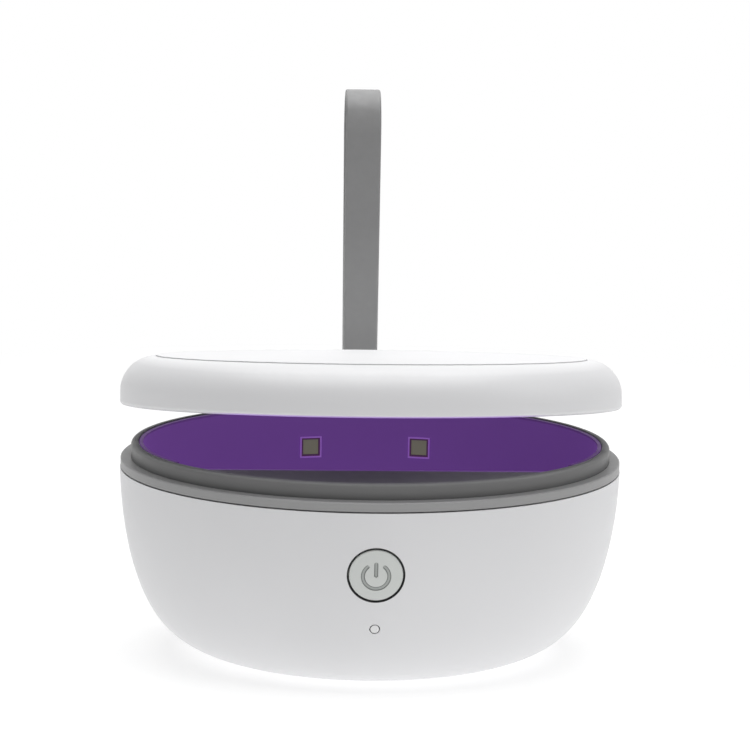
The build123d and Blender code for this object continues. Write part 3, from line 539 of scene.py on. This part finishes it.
# ---------------------------------------------------------------- modelled details
def pad_block(mesh, middle, size):
    """Adds a block to a mesh under construction."""
    corners = bmesh.ops.create_cube(mesh, size=1.0)["verts"]
    bmesh.ops.scale(mesh, vec=size, verts=corners)
    bmesh.ops.translate(mesh, vec=middle, verts=corners)


def make_socket_contacts():
    """Rows of gold contacts on both faces of the charging socket's tongue."""
    low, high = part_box("charging_socket")
    tongue_z = (low[2] + high[2]) / 2
    mesh = bmesh.new()
    for face in (-1, 1):
        for step in range(contact_count):
            across = (step - (contact_count - 1) / 2) * contact_pitch
            middle = (across, high[1] - contact_depth, tongue_z + face * tongue_half)
            pad_block(mesh, middle, contact_size)
    data = bpy.data.meshes.new("socket_contacts")
    mesh.to_mesh(data)
    mesh.free()
    contacts = bpy.data.objects.new("socket_contacts", data)
    bpy.context.scene.collection.objects.link(contacts)
    rounding = contacts.modifiers.new("rounding", "BEVEL")
    rounding.width = contact_rounding
    rounding.segments = 2
    data.materials.append(metal("contact_gold", (0.83, 0.62, 0.30), 0.22, (1.0, 12.0, 1.0)))
    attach(contacts, "base")


# ---------------------------------------------------------------- stage
def straight_rays(tree):
    """1 for rays that show a surface as it is: camera, mirror and see-through rays."""
    path = tree.nodes.new("ShaderNodeLightPath")
    total = path.outputs["Is Camera Ray"]
    for ray in ("Is Glossy Ray", "Is Transmission Ray"):
        either = tree.nodes.new("ShaderNodeMath")
        either.operation = "MAXIMUM"
        tree.links.new(total, either.inputs[0])
        tree.links.new(path.outputs[ray], either.inputs[1])
        total = either.outputs["Value"]
    return total


def mix_shaders(tree, share, first, second, output):
    """Joins two shaders to an output: the first where share is 0, the second where it is 1."""
    mix = tree.nodes.new("ShaderNodeMixShader")
    tree.links.new(share, mix.inputs["Fac"])
    tree.links.new(first, mix.inputs[1])
    tree.links.new(second, mix.inputs[2])
    tree.links.new(mix.outputs["Shader"], tree.nodes[output].inputs["Surface"])


def make_floor():
    """Wide light table: pale, glowing a little, with the object's shadow, and white far off."""
    corners = [(x * floor_half, y * floor_half, 0) for x, y in ((-1, -1), (1, -1), (1, 1), (-1, 1))]
    mesh = bpy.data.meshes.new("floor")
    mesh.from_pydata(corners, [], [(0, 1, 2, 3)])
    floor = bpy.data.objects.new("floor", mesh)
    bpy.context.scene.collection.objects.link(floor)
    shader = Shader("floor")
    seen = straight_rays(shader.tree)
    glow = shader.span(seen, floor_fill, floor_glow, 0.0, 1.0)
    shader.join(glow, shader.surface.inputs["Emission Strength"])
    shader.set(Roughness=0.9, Specular_IOR_Level=0.0, Emission_Color=(1, 1, 1, 1))
    mesh.materials.append(shader.finish(shader.ramp(shader.noise(3.0), *floor_tones)))
    # beyond the shadow the table shows as plain white
    distance = shader.add("ShaderNodeVectorMath", operation="LENGTH")
    shader.join(shader.place, distance.inputs[0])
    far = shader.span(distance.outputs["Value"], 0.0, 1.0, *shadow_end)
    share = shader.math("MULTIPLY", far, seen)
    plain = shader.add("ShaderNodeEmission").outputs["Emission"]
    mix_shaders(shader.tree, share, shader.surface.outputs["BSDF"], plain, "Material Output")


def make_world():
    """Even dim surroundings that show as white behind the object and in gloss."""
    world = bpy.data.worlds.new("world")
    bpy.context.scene.world = world
    world.use_nodes = True
    tree = world.node_tree
    tent = tree.nodes["Background"]
    tent.inputs["Color"].default_value = tent_color
    tent.inputs["Strength"].default_value = tent_strength
    backdrop = tree.nodes.new("ShaderNodeBackground")
    backdrop.inputs["Color"].default_value = (1, 1, 1, 1)
    mix_shaders(
        tree, straight_rays(tree), tent.outputs["Background"], backdrop.outputs["Background"],
        "World Output",
    )


def make_lamp(name, place, aim, size, power):
    """A soft rectangular lamp of that size and power in watts."""
    data = bpy.data.lights.new(name, "AREA")
    data.shape = "RECTANGLE"
    data.size, data.size_y = size
    data.energy = power
    lamp = bpy.data.objects.new(name, data)
    bpy.context.scene.collection.objects.link(lamp)
    lamp.location = place
    lamp.rotation_mode = "QUATERNION"
    lamp.rotation_quaternion = (Vector(aim) - Vector(place)).to_track_quat("-Z", "Y")
    lamp.visible_camera = False


bpy.context.scene.view_settings.view_transform = "Standard"
make_camera()
dress_nodes()
make_socket_contacts()
make_floor()
make_world()
make_lamp("overhead_lamp", place=(0.0, 0.1, 1.5), aim=(0.0, 0.0, 0.1), size=(1.4, 1.4), power=23.5)
make_lamp("front_lamp", place=(-0.3, -1.6, 0.9), aim=(0.0, 0.0, 0.1), size=(1.0, 0.7), power=0.7)
make_lamp("right_lamp", place=(1.25, -0.4, 0.80), aim=(0.0, 0.0, 0.06), size=(0.7, 0.7), power=3.0)
